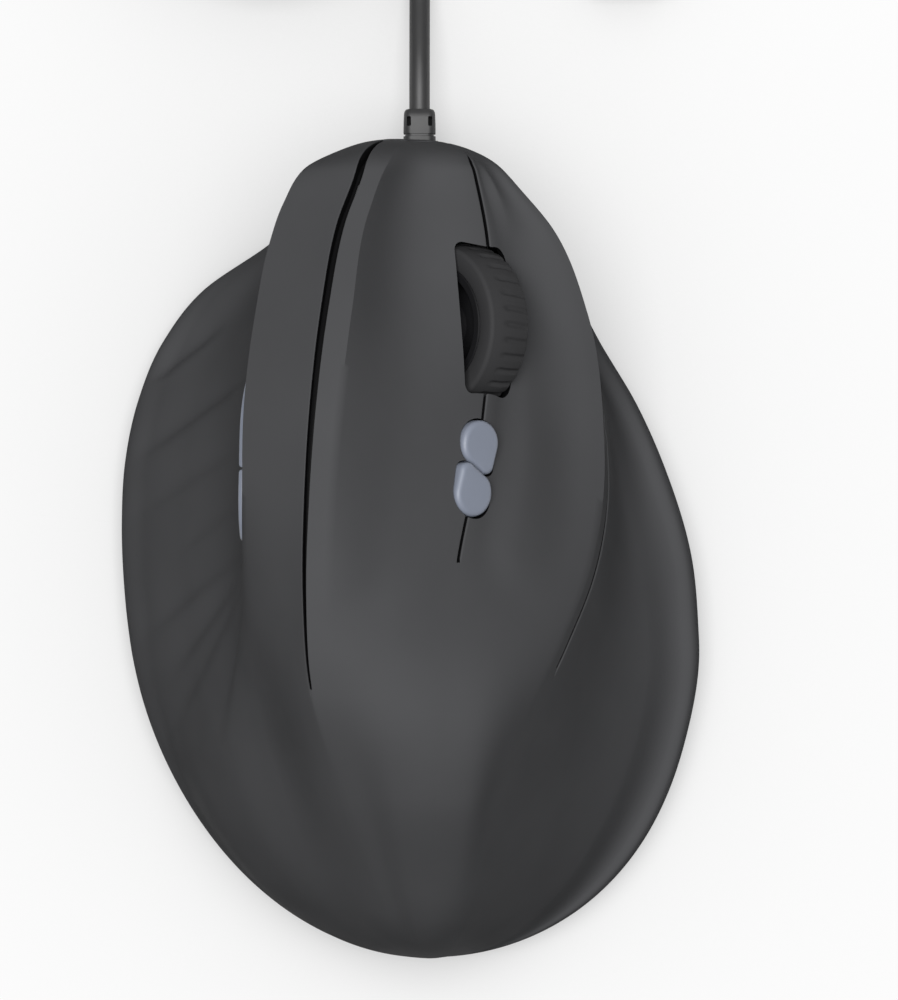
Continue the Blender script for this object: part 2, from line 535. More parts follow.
def slab(name, outer, inner, sharp=38, coated=False):
    """A closed wall between two grids of points, whose outer faces alone are coated if it is."""
    cells = np.ones((outer.shape[0] - 1, outer.shape[1] - 1), bool)
    points = np.concatenate([outer.reshape(-1, 3), inner.reshape(-1, 3)])
    return make_piece(name, points, grid_faces(cells), sharp=sharp, coated=cells.size if coated else None)


def sleeve(name, across, forward, up, wide, high, corner, count=64):
    """A loft of rounded rectangles along the body, with corners that are a share of the shorter side."""
    loops = np.stack([rounded_loop(w, h, min(w, h) * corner, count) for w, h in zip(wide, high)])
    along = np.repeat(forward[:, None], count, 1)
    return loft(name, np.stack([across + loops[:, :, 0], along, up + loops[:, :, 1]], 2))


def sweep(path, radius, sides):
    """Rings of a round tube along a path: each ring lies across the mean of its two steps."""
    step = unit(np.diff(path, axis=0))
    along = unit(np.concatenate([step[:1], step[:-1] + step[1:], step[-1:]]))
    side = unit(np.cross(along, [0, 0, 1]))
    up = np.cross(side, along)
    a = 2 * np.pi * (np.arange(sides) + 0.5) / sides
    radius = np.broadcast_to(radius, (len(path),))[:, None, None]
    around = np.cos(a)[None, :, None] * side[:, None] + np.sin(a)[None, :, None] * up[:, None]
    return path[:, None] + radius * around


def rounded_loop(width, height, corner, count):
    """Points of a rounded rectangle: four corner arcs, joined by straight sides."""
    a = full_turn(count) + np.pi / count
    x = np.sign(np.cos(a)) * (width / 2 - corner) + corner * np.cos(a)
    y = np.sign(np.sin(a)) * (height / 2 - corner) + corner * np.sin(a)
    return np.stack([x, y], 1)


def cut(piece, cutters):
    """Takes the cutters' volumes out of a piece and deletes them. Cut faces get its second material."""
    for material in coated_finish():
        piece.data.materials.append(material)
    for cutter in cutters:
        cutter.data.materials.append(coated_finish()[1])
        taken = piece.modifiers.new("cut", "BOOLEAN")
        taken.operation, taken.solver, taken.object = "DIFFERENCE", "EXACT", cutter
        taken.material_mode = "TRANSFER"
    finished = piece.evaluated_get(bpy.context.evaluated_depsgraph_get())
    mesh = bpy.data.meshes.new_from_object(finished)
    piece.modifiers.clear()
    used = [piece.data] + [cutter.data for cutter in cutters]
    piece.data = mesh
    for cutter in cutters:
        bpy.data.objects.remove(cutter)
    for old in used:
        bpy.data.meshes.remove(old)
    smooth(piece)


def deck_place(across, forward, out):
    """Points of the deck's frame in the object's frame."""
    across, forward, out = np.broadcast_arrays(across, forward, out)
    in_plane = across[..., None] * DECK_ACROSS + forward[..., None] * FORWARD
    return DECK_POINT + in_plane + out[..., None] * DECK_OUT


def finish_piece(piece, body, materials, slot, *nodes):
    """Gives a piece its materials, body and slot in the record, and the frame's nodes that it stands for."""
    inside = np.zeros(len(piece.data.polygons), np.int32)
    piece.data.polygons.foreach_get("material_index", inside)
    piece.data.materials.clear()
    for material in materials:
        piece.data.materials.append(material)
    inside = np.minimum(inside, len(materials) - 1).astype(np.int32)
    piece.data.polygons.foreach_set("material_index", inside)
    if body:
        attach(piece, body)
    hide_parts(*nodes)
    return piece


# Materials

class Finish:
    """One node material, with short ways to add nodes, a texture or a bump to its shader."""

    def __init__(self, name, colour, roughness, metallic=0.0, specular=0.5):
        self.material = bpy.data.materials.new(name)
        self.material.use_nodes = True
        self.nodes, self.links = self.material.node_tree.nodes, self.material.node_tree.links
        self.shader = self.nodes["Principled BSDF"]
        self.feed(self.shader, {"Base Color": (*colour, 1), "Roughness": roughness, "Metallic": metallic,
                                "Specular IOR Level": specular})

    def feed(self, node, inputs):
        """Sets inputs of a node, each to a value or to another node's output."""
        for socket, value in inputs.items():
            if isinstance(value, bpy.types.NodeSocket):
                self.links.new(value, node.inputs[socket])
            else:
                node.inputs[socket].default_value = value

    def add(self, kind, inputs, **settings):
        """Outputs of a new node with the given settings and inputs."""
        node = self.nodes.new(kind)
        for name, value in settings.items():
            setattr(node, name, value)
        self.feed(node, inputs)
        return node.outputs

    def noise(self, scale, detail=2.0):
        """Noise over the object's own coordinates, with a scale in waves per metre."""
        place = self.add("ShaderNodeTexCoord", {})["Object"]
        return self.add("ShaderNodeTexNoise", {"Vector": place, "Scale": scale, "Detail": detail})["Fac"]

    def range(self, value, low, high, start=0.3, stop=0.7):
        """Maps a texture's middle range to low and high."""
        limits = {"From Min": start, "From Max": stop, "To Min": low, "To Max": high}
        return self.add("ShaderNodeMapRange", {"Value": value, **limits})["Result"]

    def tint(self, value, dark, light):
        """Base colour between two, by a value."""
        first, second, result = 6, 7, 2
        inputs = {"Factor": value, first: (*dark, 1), second: (*light, 1)}
        mixed = self.add("ShaderNodeMix", inputs, data_type="RGBA")[result]
        self.feed(self.shader, {"Base Color": mixed})

    def rough(self, value):
        """Roughness from a value."""
        self.feed(self.shader, {"Roughness": value})

    def bump(self, height, depth):
        """Bump from a height texture of a depth in metres."""
        normal = self.add("ShaderNodeBump", {"Height": height, "Distance": depth})["Normal"]
        self.feed(self.shader, {"Normal": normal})


def shaded(colour, by):
    """A colour made lighter or darker."""
    return tuple(min(1.0, c * by) for c in colour)


FINISHES = {}
TONE_WAVES, GLOSS_WAVES, GLOSS_SPREAD = 55, 140, 0.035


def moulded(name, colour, roughness, grain=0.00018, depth=0.000012, specular=0.5, spread=0.06):
    """Moulded plastic: fine spark-eroded grain, faint drift of tone and of gloss."""
    if name in FINISHES:
        return FINISHES[name].material
    finish = FINISHES[name] = Finish(name, colour, roughness, specular=specular)
    drift = finish.range(finish.noise(TONE_WAVES, 3), 0, 1)
    finish.tint(drift, shaded(colour, 1 - spread), shaded(colour, 1 + spread))
    gloss = finish.noise(GLOSS_WAVES)
    finish.rough(finish.range(gloss, roughness - GLOSS_SPREAD, roughness + GLOSS_SPREAD))
    finish.bump(finish.noise(1 / grain), depth)
    return finish.material


def metal(name, colour, roughness, grain=0.0006):
    """Plated metal with faint rolled streaks."""
    finish = Finish(name, colour, roughness, metallic=1.0)
    drift = finish.range(finish.noise(90, 3), 0, 1)
    finish.tint(drift, shaded(colour, 0.9), shaded(colour, 1.06))
    finish.rough(finish.range(finish.noise(1 / grain, 3), roughness - 0.015, roughness + 0.02))
    finish.bump(finish.noise(2 / grain), 0.000001)
    return finish.material


def coated_finish():
    """Soft coating on the outside of the shell and of the buttons, and the bare black plastic under it."""
    coat = moulded("soft_coating", look().shell_colour, 0.75, grain=0.00016, depth=0.000014, spread=0.035,
                   specular=0.06)
    return [coat, moulded("bare_plastic", (0.006, 0.006, 0.0065), 0.6, specular=0.1)]


def key_finish():
    """Satin blue-grey plastic of the small keys."""
    return moulded("satin_key", look().key_colour, 0.42, grain=0.00022, depth=0.000008, spread=0.03)


def jacket_finish():
    """Satin jacket of the cord and of its strain relief."""
    return moulded("cord_jacket", look().cord_colour, 0.48, grain=0.0004, depth=0.00001, specular=0.6)


# Stage

class MOUSE_OT_stage(bpy.types.Operator):
    """Makes the camera, the pale floor and the soft light from above"""

    bl_idname = "mouse.stage"
    bl_label = "Stage"

    def execute(self, context):
        scene = context.scene
        scene.view_settings.view_transform = "Standard"
        lens = bpy.data.cameras.new("camera")
        lens.sensor_width = SENSOR_WIDTH
        lens.lens = SENSOR_WIDTH / VIEW_WIDTH
        lens.clip_start = 0.05
        camera = bpy.data.objects.new("camera", lens)
        camera.location = CAMERA_PLACE
        scene.collection.objects.link(camera)
        scene.camera = camera
        self.make_floor(scene)
        self.make_light(scene)
        return {"FINISHED"}

    def make_floor(self, scene):
        """A wide round floor."""
        turn = full_turn(FLOOR_SIDES)
        level = np.full(FLOOR_SIDES, -FLOOR_DROP)
        disc = np.stack([FLOOR_RADIUS * np.cos(turn), FLOOR_RADIUS * np.sin(turn), level], 1)
        mesh = bpy.data.meshes.new("floor")
        mesh.from_pydata(disc * MM, [], [list(range(FLOOR_SIDES))])
        floor = bpy.data.objects.new("floor", mesh)
        scene.collection.objects.link(floor)
        mesh.materials.append(self.floor_material())

    def floor_material(self):
        """Pale to the camera and in reflections, darker to bounced light.

        A share of its paleness is a glow that fades to a soft halo round the mouse, where less of the space
        above a point of the floor is open.
        """
        floor = Finish("pale_floor", look().floor_colour, 0.9, specular=0.0)
        path = floor.add("ShaderNodeLightPath", {})
        shown = path["Is Camera Ray"]
        for other in ("Is Glossy Ray", "Is Transmission Ray"):
            shown = floor.add("ShaderNodeMath", {0: shown, 1: path[other]}, operation="MAXIMUM")[0]
        space = floor.add("ShaderNodeAmbientOcclusion", {"Distance": HALO_REACH})["AO"]
        halo = floor.add("ShaderNodeMath", {0: space, 1: HALO_POWER}, operation="POWER")[0]
        glow = floor.add("ShaderNodeEmission", {"Strength": halo})[0]
        pale = floor.add("ShaderNodeMixShader", {0: GLOW_SHARE, 1: floor.shader.outputs[0], 2: glow})[0]
        grey = (FLOOR_BOUNCE, FLOOR_BOUNCE, FLOOR_BOUNCE, 1)
        bounced = floor.add("ShaderNodeBsdfDiffuse", {"Color": grey})[0]
        mixed = floor.add("ShaderNodeMixShader", {0: shown, 1: bounced, 2: pale})[0]
        floor.feed(floor.nodes["Material Output"], {"Surface": mixed})
        return floor.material

    def make_light(self, scene):
        """A wide lamp overhead, turned to the middle of the floor, and an even, weaker sky."""
        world = bpy.data.worlds.new("studio")
        world.use_nodes = True
        sky = world.node_tree.nodes["Background"]
        sky.inputs["Color"].default_value = (1, 1, 1, 1)
        sky.inputs["Strength"].default_value = SKY_STRENGTH
        scene.world = world
        lamp = bpy.data.lights.new("overhead", "AREA")
        lamp.shape = "RECTANGLE"
        lamp.size, lamp.size_y = LAMP_SIZE, LAMP_SIZE
        lamp.energy = LAMP_POWER
        top = bpy.data.objects.new("overhead", lamp)
        top.location = LAMP_PLACE
        across, forward, up = LAMP_PLACE
        top.rotation_euler = (math.atan2(-forward, up), math.atan2(across, up), 0)
        scene.collection.objects.link(top)


# Cord

def fair_path(points, count):
    """Curve through points: a cubic on each step, with the slopes of the neighbours' chords."""
    p = np.array(points, float)
    t = run_along(p)
    return fair_curve(np.column_stack([t, p])[::-1], np.linspace(0, t[-1], count))


def cord_route():
    """The cord's centreline: the free lead, the coil and the tail up to the plug.

    The coil's radius runs in and out at a steady rate, and it climbs one layer in the half turn round each
    reversal.
    """
    lead, tail = fair_path(LEAD_POINTS, 60), fair_path(TAIL_POINTS, 70)
    turns = COIL_LAYERS * COIL_TURNS
    angle = np.linspace(0, 2 * np.pi * turns, turns * COIL_STEPS + 1)
    free = run_along(LEAD_POINTS)[-1] + run_along(TAIL_POINTS)[-1] + 2 * CORD_DIAMETER
    outer = (CORD_LENGTH - free) / angle[-1] + COIL_PITCH * COIL_TURNS / 2
    leg = angle / (2 * np.pi * COIL_TURNS)
    radius = outer - COIL_PITCH * COIL_TURNS * np.abs((leg + 1) % 2 - 1)
    layer = sum(ease(2 * COIL_TURNS * (leg - k) + 0.5) for k in range(1, COIL_LAYERS))
    coil = np.stack([CORD_ACROSS - outer + radius * np.cos(angle), COIL_FORWARD + radius * np.sin(angle),
                     COIL_LOW + COIL_PITCH * layer], 1)
    return np.concatenate([lead, coil, tail]), outer


class MOUSE_OT_cord(bpy.types.Operator):
    """Makes the cord with its coil, tie, strain relief and plug"""

    bl_idname = "mouse.cord"
    bl_label = "Cord and plug"

    def execute(self, context):
        jacket = jacket_finish()
        route, outer = cord_route()
        cord = loft("cord", sweep(route, CORD_DIAMETER / 2, 20))
        finish_piece(cord, "housing", [jacket], "cord_jacket", "cord_lead", "cord_coil", "cord_tail")
        relief = self.make_relief(jacket)
        grip = self.make_grip()
        tie = self.make_tie(outer)
        return {"FINISHED"}

    def make_relief(self, jacket):
        """Strain relief: a rounded square sleeve with a neck in the shell's wall and two slots in its top."""
        forward = np.array([56, 59, 59.4, 60, 62.4, 62.5, 62.6, 63.7, 63.8, 63.85, 64.15, 64.2, 64.3, 66.0,
                            67.2, 67.5, 67.75, 67.92, 68.0])
        wide = np.array([6.2, 6.2, 4.2, 4.2, 4.2, 4.85, 4.95, 4.95, 4.85, 4.4, 4.4, 4.85, 4.95, 4.9, 4.8, 4.7,
                         4.45, 4.1, 3.5])
        high = np.minimum(wide, np.interp(forward, [60, 63, 67, 68], [6.2, 4.7, 4.6, 3.5]))
        relief = sleeve("strain_relief_sleeve", CORD_ACROSS, forward, CORD_UP, wide, high, 0.26)
        slot_side = 1.62
        cut(relief, [self.make_slot(CORD_ACROSS + side * slot_side) for side in (-1, 1)])
        return finish_piece(relief, "housing", [jacket, coated_finish()[1]], "cord_jacket", "strain_relief")

    def make_slot(self, across):
        """Throw-away block for one slot of the strain relief: a rounded loop carried down from above."""
        forward, low, high, count = 66.1, CORD_UP + 0.6, CORD_UP + 4, 24
        loop = rounded_loop(0.62, 1.5, 0.2, count)
        rings = [np.column_stack([across + loop[:, 0], forward + loop[:, 1], np.full(count, up)])
                 for up in (low, high)]
        return loft("slot", np.stack(rings))

    def make_grip(self):
        """Plug grip: a sleeve from the round cord to a flat rounded box, with collars."""
        x, y, z = TAIL_POINTS[-1]
        back = np.array([0, 0.25, 1.2, 1.4, 2.2, 2.4, 3.4, 3.6, 4.4, 5.0, 6.0, 8.0, 11.0, 14.0, 16.6, 17.5,
                         18.0])
        wide = np.array([4.4, 4.8, 4.9, 4.2, 4.3, 5.1, 5.2, 4.6, 5.6, 10.8, 13.6, 15.0, 15.4, 15.3, 15.1,
                         14.7, 14.0])
        high = np.array([4.4, 4.8, 4.9, 4.2, 4.3, 5.1, 5.2, 4.6, 5.0, 6.4, 7.2, 7.6, 7.8, 7.8, 7.7, 7.4, 6.8])
        grip = sleeve("plug_sleeve", x, y - back, z, wide, high, 0.42)
        dark = moulded("plug_moulding", shaded(look().base_colour, 1.3), 0.48)
        return finish_piece(grip, "housing", [dark], "cord_jacket", "plug_grip")

    def make_tie(self, outer):
        """Tie: a flat strap, its rounded section carried round a rounded loop over the bundle."""
        slack, thick, wide = 1.3, 0.7, 6.0
        inner = outer - COIL_PITCH * COIL_TURNS
        width = outer - inner + CORD_DIAMETER + slack
        height = (COIL_LAYERS - 1) * COIL_PITCH + CORD_DIAMETER + slack
        loop = rounded_loop(width, height, 1.6, 64)
        out = unit(np.roll(loop, -1, 0) - np.roll(loop, 1, 0))[:, ::-1] * np.array([1, -1])
        strap = rounded_loop(thick, wide, 0.3, 24)
        plane = loop[:, None] + out[:, None] * strap[None, :, :1]
        x = CORD_ACROSS - outer - (outer + inner) / 2
        rings = np.stack([x + plane[:, :, 0], COIL_FORWARD + np.broadcast_to(strap[:, 1], plane.shape[:2]),
                          (height + thick) / 2 + plane[:, :, 1]], 2)
        tie = loft("tie_strap", rings, loop=True)
        dark = moulded("tie_strap", (0.02, 0.02, 0.021), 0.6)
        return finish_piece(tie, "housing", [dark], "cord_jacket", "cord_tie")


# Shell and buttons

BODY = {}


def body_grid():
    """The grid of the skin, made once."""
    if not BODY:
        BODY["grid"] = BodyGrid()
    return BODY["grid"]


def crease_depth(points):
    """Depth of the thumb rest's creases.

    Across a crease its depth is half a wide bell in front of its line and half a narrow one behind it. Along
    the line it fades in and out by smooth steps.
    """
    plan = points[..., :2]
    sink = np.zeros(plan.shape[:-1])
    for start, stop, depth in THUMB_CREASES:
        a, b = np.array(start), np.array(stop)
        along = unit(b - a)
        behind = np.array([-along[1], along[0]])
        behind = behind * np.sign(-behind[1])
        t = (plan - a) @ along / np.linalg.norm(b - a)
        s = (plan - a) @ behind
        bell = np.exp(-(s / np.where(s < 0, CREASE_FRONT, CREASE_BACK)) ** 2)
        sink += depth * bell * ease(np.interp(t, CREASE_SPAN, IN_AND_OUT))
    return np.minimum(sink, CREASE_LIMIT)


class MOUSE_OT_shell(bpy.types.Operator):
    """Makes the outer shell with its rounded gaps and the creases of the thumb rest"""

    bl_idname = "mouse.shell"
    bl_label = "Shell"

    def execute(self, context):
        body = body_grid()
        p, away = body.points, body.normals
        radius = look().edge_round / MM
        left, right = body.column(GROOVE_LEFT), body.column(CUFF_LOW)
        low, high = body.column(WINDOW_LOW), body.column(WINDOW_HIGH)
        drop = edge_drop(body.beyond((body.face, body.flex), (left, right)), radius)
        drop[body.flex:, left + 1:right] = 0
        drop = np.maximum(drop, edge_drop(body.beyond(body.window, (low, high)), radius))
        side = np.interp(body.columns, CREASE_RAILS, IN_AND_OUT)
        outer = p - away * (drop + crease_depth(p) * side)[..., None]
        inner = p - away * WALL
        m, n = p.shape[:2]
        keep = np.ones((m - 1, n - 1), bool)
        keep[body.face:body.flex, left:right] = False
        keep[body.window[0]:body.window[1], low:high] = False
        nose = np.array([NOSE_CENTRE[0], NOSE_TIP, NOSE_UP])
        tail = np.array([TAIL_CENTRE[0], TAIL_TIP, TAIL_UP])
        caps = np.array([nose, nose - [0, WALL, 0], tail, tail + [0, WALL, 0]])
        points = np.concatenate([outer.reshape(-1, 3), inner.reshape(-1, 3), caps])
        faces = grid_faces(keep)
        faces = faces[~self.end_walls(faces, m, n)]
        shell = make_piece("shell", points, faces, self.end_faces(m, n), coated=np.count_nonzero(keep))
        finish_piece(shell, "housing", coated_finish(), "soft_shell", "main_shell")
        return {"FINISHED"}

    def end_walls(self, faces, m, n):
        """Marks the side faces along the first and last rows, which the end caps close instead."""
        row = (faces % (m * n)) // n
        both = (faces.min(1) < m * n) & (faces.max(1) >= m * n)
        return both & (np.all(row == 0, 1) | np.all(row == m - 1, 1))

    def end_faces(self, m, n):
        """Fans from both grids' end rows to a middle point each, and the strips between the two grids."""
        k = np.arange(n)
        after = (k + 1) % n
        inner, last, caps = m * n, (m - 1) * n, 2 * m * n
        turns = ((0, k, after), (inner, after, k), (last, after, k), (inner + last, k, after))
        fans = [np.stack([row + a, row + b, np.full(n, caps + cap)], 1)
                for cap, (row, a, b) in enumerate(turns)]
        a, b = n - 1, 0
        strips = [[a, inner + a, inner + b], [a, inner + b, b],
                  [last + b, inner + last + b, inner + last + a], [last + b, inner + last + a, last + a]]
        return np.concatenate([*fans, np.array(strips)])


class MOUSE_OT_buttons(bpy.types.Operator):
    """Makes the two main buttons, which bend into the shell behind them"""

    bl_idname = "mouse.buttons"
    bl_label = "Main buttons"

    def execute(self, context):
        self.make_button("left_plate", "left_button", GROOVE_RIGHT, SLIT_LEFT, (GROOVE_RIGHT, SLIT_LEFT))
        self.make_button("right_plate", "right_button", SLIT_RIGHT, CUFF_TOP, (SLIT_RIGHT, MIDDLE_RAIL + 1))
        return {"FINISHED"}

    def make_button(self, name, node, start, stop, flex_rails):
        """One button: a part of the skin with rounded edges, less the wheel's slot and the keys' holes."""
        body = body_grid()
        rows = slice(body.button, body.flex + 1)
        columns = slice(body.column(start), body.column(stop) + 1)
        p, away = body.points[rows, columns], body.normals[rows, columns]
        drop = edge_fall(p, look().edge_round / MM, p[:1], p[:, :1], p[:, -1:])
        drop[-1] = 0
        v = np.broadcast_to(body.columns[columns], p.shape[:2])
        drop += finger_hollow(p[..., 1], v) - brow_swell(p[..., 1], v)
        plate = slab(name, p - away * drop[..., None], p - away * PLATE, coated=True)
        cut(plate, hole_cutters())
        finish_piece(plate, None, coated_finish(), "deck_plastic", node)
        ends = [skin_point(flex_at(rail), rail) for rail in flex_rails]
        line = unit(ends[1] - ends[0])
        back = np.cross(line, [0, 0, 1])
        back = unit(back * -np.sign(back[1]))
        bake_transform(plate)


def finger_hollow(y, v):
    """Depth of the index finger's hollow, less the height of the swell beside the middle finger.

    The hollow is a parabola across its plate, the swell a squared sine over a part of the other plate. Both
    fade towards the flex line by a smooth step.
    """
    u = np.clip((v - GROOVE_RIGHT - 1) / (SLIT_LEFT - GROOVE_RIGHT - 1), 0, 1)
    w = np.interp((v - SLIT_RIGHT) / (MIDDLE_RAIL + 1 - SLIT_RIGHT), SWELL_SPAN, [0, 1])
    index = measure(INDEX_HOLLOW, y.ravel()).reshape(y.shape) * 4 * u * (1 - u)
    middle = measure(MIDDLE_SWELL, y.ravel()).reshape(y.shape) * np.sin(np.pi * w) ** 2
    return (index - middle) * ease((y - flex_at(v)) / FLEX_FADE)


def brow_swell(y, v):
    """Height of the swell along the right brow: a bell across it that fades at both ends."""
    bell = np.exp(-((v - MIDDLE_RAIL - 1) / BROW_SWELL_WIDTH) ** 2)
    return BROW_SWELL * bell * ease(np.interp(y, BROW_SWELL_SPAN, IN_AND_OUT))


def hole_cutters():
    """Throw-away solids for the wheel's slot and for the speed keys' holes.

    The slot's corners are rounded, and its left side leans out towards the rear.
    """
    turn = full_turn(144)
    radius, width = WHEEL_RADIUS + SLOT_END, WHEEL_WIDTH / 2 + SLOT_SIDE
    left, right = SLOT_CORNERS
    bend = np.radians(np.linspace(0, 90, 9))
    across = np.concatenate([(left * (1 - np.sin(bend)) - width)[::-1], width - right * (1 - np.sin(bend))])
    shrink = np.concatenate([left * (1 - np.cos(bend))[::-1], right * (1 - np.cos(bend))])
    reach = (radius - shrink)[:, None]
    lean = SLOT_LEAN * (1 - reach * np.cos(turn) / radius) / 2 * (across[:, None] < 0)
    out = WHEEL_PROUD - WHEEL_RADIUS + reach * np.sin(turn)
    cutters = [loft("slot_cutter", deck_place(across[:, None] - lean, reach * np.cos(turn), out))]
    depths = (-12, 14)
    for place, way in speed_places():
        edge = drop_outline(way, SPEED_GAP, 96)
        rings = np.stack([deck_place(place[0] + edge[:, 0], place[1] + edge[:, 1], out) for out in depths])
        cutters.append(loft("key_cutter", rings))
    return cutters


# Small keys

def in_deck(p):
    """A point in the deck's frame: across, forward, out."""
    d = p - DECK_POINT
    return np.array([d @ DECK_ACROSS, d[1], d @ DECK_OUT])


def speed_places():
    """Places of the two speed keys in the deck's frame, each with the way that its tip points."""
    return [(in_deck(skin_point(at, SLIT_MIDDLE)), way) for at, way in SPEED_PLACES]


def drop_outline(way, grow, count):
    """Outline of a drop: the hull of an ellipse and a small circle, grown outwards.

    In each direction the support point of the one that reaches further is taken. A bell of the direction adds
    a belly to the side that lies beside the other key.
    """
    a = full_turn(count * 4)
    facing = np.stack([np.cos(a), np.sin(a)], 1)
    support = facing * SPEED_OVAL**2 / np.linalg.norm(facing * SPEED_OVAL, axis=1, keepdims=True)
    oval = np.array([0, -way * OVAL_BACK]) + support
    tip = way * SPEED_TIP + facing * TIP_RADIUS
    hull = np.where(((oval - tip) * facing).sum(1, keepdims=True) > 0, oval, tip)
    beside = np.radians(130 - 90 * way)
    off = np.angle(np.exp(1j * (a - beside)))[:, None]
    hull = hull + facing * (grow + BELLY * np.exp(-((off / BELLY_WIDTH) ** 2)))
    closed = np.concatenate([hull, hull[:1]])
    run = run_along(closed)
    at = np.linspace(0, run[-1], count, endpoint=False)
    return np.stack([np.interp(at, run, closed[:, k]) for k in (0, 1)], 1)


class MOUSE_OT_speed_keys(bpy.types.Operator):
    """Makes the two drop-shaped speed keys behind the wheel"""

    bl_idname = "mouse.speed_keys"
    bl_label = "Speed keys"

    def execute(self, context):
        names = (("speed_up_cap", "speed_up_key"), ("speed_down_cap", "speed_down_key"))
        turn = np.radians([0, 12, 24, 36, 48, 60, 72, 84, 90])
        inset = np.concatenate([[0, 0], SPEED_ROUND * (1 - np.cos(turn)), [1.2, 1.8, 2.4]])
        out = np.concatenate([[-2.5, -0.6], -0.05 + SPEED_ROUND * np.sin(turn), [0.735, 0.76, 0.775]])
        for (name, node), (place, way) in zip(names, speed_places()):
            edge = drop_outline(way, 0, 120)
            rings = [deck_place(place[0] + edge[:, 0] * s, place[1] + edge[:, 1] * s, place[2] + o)
                     for s, o in zip(1 - inset / SPEED_REACH, out)]
            cap = loft(name, np.stack(rings), sharp=50)
            finish_piece(cap, node, [key_finish()], "blue_grey_key", node)
        return {"FINISHED"}


def from_both_ends(close, start, length, count):
    """Steps from 0 to a length: the same close ones at both ends, and even ones between."""
    close = np.array(close)
    return np.concatenate([close, np.linspace(start, length - start, count), length - close[::-1]])


class MOUSE_OT_thumb_keys(bpy.types.Operator):
    """Makes the two thumb keys in the left wall"""

    bl_idname = "mouse.thumb_keys"
    bl_label = "Thumb keys"

    def execute(self, context):
        middle = (WINDOW_FRONT + WINDOW_BACK) / 2
        reach = (WINDOW_FRONT - WINDOW_BACK) / 2
        spans = {"forward_key": (WINDOW_FRONT - THUMB_GAP, THUMB_SPLIT + THUMB_GAP / 2),
                 "back_key": (THUMB_SPLIT - THUMB_GAP / 2, WINDOW_BACK + THUMB_GAP)}
        up = from_both_ends([0, 0.02, 0.055, 0.11], 0.18, 1, 14)
        for node, (front, back) in spans.items():
            at = from_both_ends([0, 0.15, 0.4, 0.8], 1.4, front - back, 18)
            y, s = np.meshgrid(front - at, up, indexing="ij")
            p = skin(y, WINDOW_LOW + THUMB_INSET + (WINDOW_HIGH - WINDOW_LOW - 2 * THUMB_INSET) * s)
            away = grid_normals(p)
            drop = edge_fall(p, THUMB_ROUND, p[:1], p[-1:], p[:, :1], p[:, -1:])
            proud = THUMB_BULGE * (1 - ((y - middle) / reach) ** 4)
            cap = slab(node + "_cap", p + away * (proud - drop)[..., None], p - away * THUMB_DEPTH, sharp=50)
            finish_piece(cap, node, [key_finish()], "blue_grey_key", node)
        return {"FINISHED"}


# Wheel

def wheel_point(angle, across, radius):
    """Points of the wheel: an angle round the axle, a distance along it and a radius."""
    angle, across, radius = np.broadcast_arrays(angle, across, radius)
    out = np.cos(angle)[..., None] * DECK_OUT + np.sin(angle)[..., None] * FORWARD
    return AXLE + across[..., None] * DECK_ACROSS + radius[..., None] * out


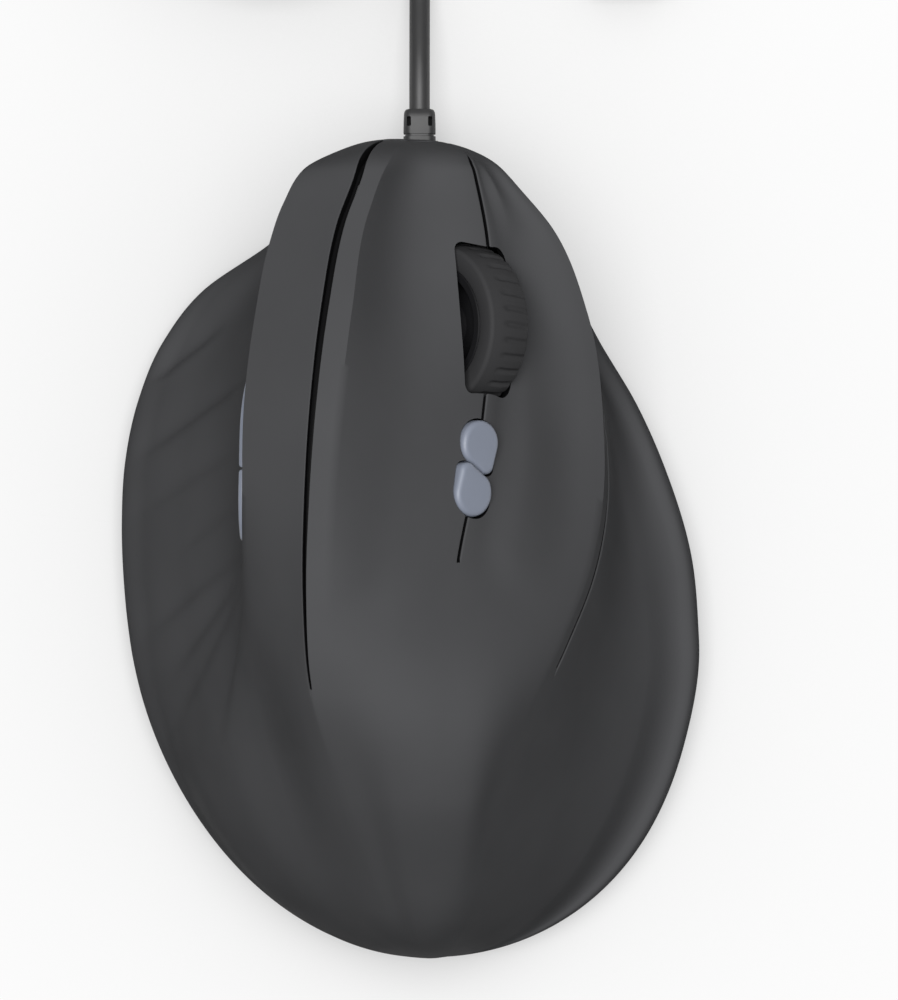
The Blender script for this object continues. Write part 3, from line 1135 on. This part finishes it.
class MOUSE_OT_wheel(bpy.types.Operator):
    """Makes the scroll wheel: its notched rubber tyre and its hub"""

    bl_idname = "mouse.wheel"
    bl_label = "Scroll wheel"

    def execute(self, context):
        self.make_tyre()
        self.make_hub()
        return {"FINISHED"}

    def make_tyre(self):
        """Tyre: a closed section carried round the axle, with notches in its tread that run out to the left.

        A notch is a cosine wave round the tyre, slanted a little, under a smooth window across the tread.
        """
        half, inner = WHEEL_WIDTH / 2, WHEEL_RADIUS - TYRE_DEPTH
        rounding, bow, low, tread_fall = 0.7, 0.5, 0.12, 0.5
        tread = np.linspace(-half + rounding, half - rounding, 30)
        crown = WHEEL_RADIUS - bow * (tread / half) ** 2 - low
        turn = np.radians(np.linspace(0, 90, 8))[1:]
        edge = crown[-1]
        right = np.stack([half - rounding * (1 - np.sin(turn)), edge - rounding * (1 - np.cos(turn))], 1)
        side = np.array([[half, edge - 1.2], [half - 0.12, inner + 0.35], [half - 0.3, inner]])
        bottom = np.array([[0.0, inner]])
        section = np.concatenate([np.stack([tread, crown], 1), right, side, bottom,
                                  (side * [-1, 1])[::-1], (right * [-1, 1])[::-1]])
        angle = full_turn(768)
        across, radius = section[:, 0], section[:, 1]
        on_tread = np.clip((radius - edge) / tread_fall + 1, 0, 1)
        window_start, window_run, slant = -1.9, 1.6, 0.008
        window = ease(np.clip((across - window_start) / window_run, 0, 1) * on_tread)
        wave = np.cos(look().rib_count * (angle[:, None] + slant * across[None, :]))
        notch = np.clip((wave + 0.1) / 1.1, 0, 1) ** 1.5 * window
        rings = wheel_point(angle[:, None], across[None], radius[None] - look().rib_depth / MM * notch)
        tyre = loft("tyre", rings, loop=True, sharp=60)
        rubber = moulded("tyre_rubber", look().wheel_colour, 0.7, grain=0.0003, depth=0.00002, specular=0.15)
        finish_piece(tyre, "wheel", [rubber], "wheel_rubber", "wheel_tyre")

    def make_hub(self):
        """Hub: a turned section with a rim, a dished face and a boss, carried round the axle."""
        half, rim = WHEEL_WIDTH / 2, WHEEL_RADIUS - TYRE_DEPTH - 0.06
        face = np.array([[half - 0.3, rim], [half - 0.15, rim - 0.15], [half - 0.15, rim - 1.1],
                         [half - 0.3, rim - 1.3], [half - 2.2, rim - 1.6], [half - 2.2, 3.9],
                         [half - 0.7, 3.5], [half, 3.4], [half, 1.56]])
        section = np.concatenate([face, (face * [-1, 1])[::-1]])
        angle = full_turn(128)
        rings = wheel_point(angle[:, None], section[None, :, 0], section[None, :, 1])
        hub = loft("hub", rings, loop=True, sharp=30)
        dark = moulded("hub_plastic", shaded(look().base_colour, 0.6), 0.55, specular=0.1)
        finish_piece(hub, "wheel", [dark], "wheel_plastic", "wheel_hub")


# Base and inside

class MOUSE_OT_inside(bpy.types.Operator):
    """Gives the base, the feet and the parts inside their materials"""

    bl_idname = "mouse.inside"
    bl_label = "Base and inside"

    def execute(self, context):
        base = look().base_colour
        by_slot = {
            "base_plastic": moulded("base_moulding", base, 0.6, grain=0.0005, depth=0.00003),
            "inner_plastic": moulded("inner_moulding", shaded(base, 0.8), 0.55),
            "steel": metal("plated_steel", (0.62, 0.62, 0.64), 0.36),
            "green_board": moulded("solder_mask", (0.01, 0.085, 0.04), 0.32, spread=0.12),
            "switch_plastic": moulded("switch_housing", (0.016, 0.016, 0.018), 0.45),
            "pale_plastic": moulded("pale_moulding", (0.74, 0.70, 0.62), 0.4),
            "glide": moulded("glide_pad", (0.66, 0.66, 0.64), 0.3),
            "clear_plastic": moulded("lens_plastic", (0.5, 0.53, 0.56), 0.08),
            "red_lamp": moulded("lamp_dome", (0.4, 0.02, 0.02), 0.1),
            "contact_metal": metal("gilt_contact", (0.8, 0.6, 0.24), 0.25),
            "cord_jacket": jacket_finish(),
        }
        for part in frame["record"]["subparts"]:
            material = by_slot.get(part["material_slot"])
            node = frame["nodes"][part["node"]]
            if material:
                node.data.materials.clear()
                node.data.materials.append(material)
        return {"FINISHED"}


class MOUSE_PT_panel(bpy.types.Panel):
    """Lists the mouse's pieces and settings"""

    bl_idname = "MOUSE_PT_panel"
    bl_label = "Vertical mouse"
    bl_space_type = "VIEW_3D"
    bl_region_type = "UI"
    bl_category = "Mouse"

    def draw(self, context):
        for operator in OPERATORS:
            self.layout.operator(operator.bl_idname)
        for name in MouseLook.__annotations__:
            self.layout.prop(context.scene.mouse_look, name)


OPERATORS = (MOUSE_OT_stage, MOUSE_OT_cord, MOUSE_OT_shell, MOUSE_OT_buttons, MOUSE_OT_speed_keys,
             MOUSE_OT_thumb_keys, MOUSE_OT_wheel, MOUSE_OT_inside)
CLASSES = (MouseLook, *OPERATORS, MOUSE_PT_panel)


def register():
    for kind in CLASSES:
        bpy.utils.register_class(kind)
    bpy.types.Scene.mouse_look = PointerProperty(type=MouseLook)


def unregister():
    del bpy.types.Scene.mouse_look
    for kind in reversed(CLASSES):
        bpy.utils.unregister_class(kind)


def main():
    """Makes every piece in order."""
    register()
    bpy.ops.mouse.stage()
    bpy.ops.mouse.cord()
    bpy.ops.mouse.shell()
    bpy.ops.mouse.buttons()
    bpy.ops.mouse.speed_keys()
    bpy.ops.mouse.thumb_keys()
    bpy.ops.mouse.wheel()
    bpy.ops.mouse.inside()


if __name__ == "__main__":
    main()
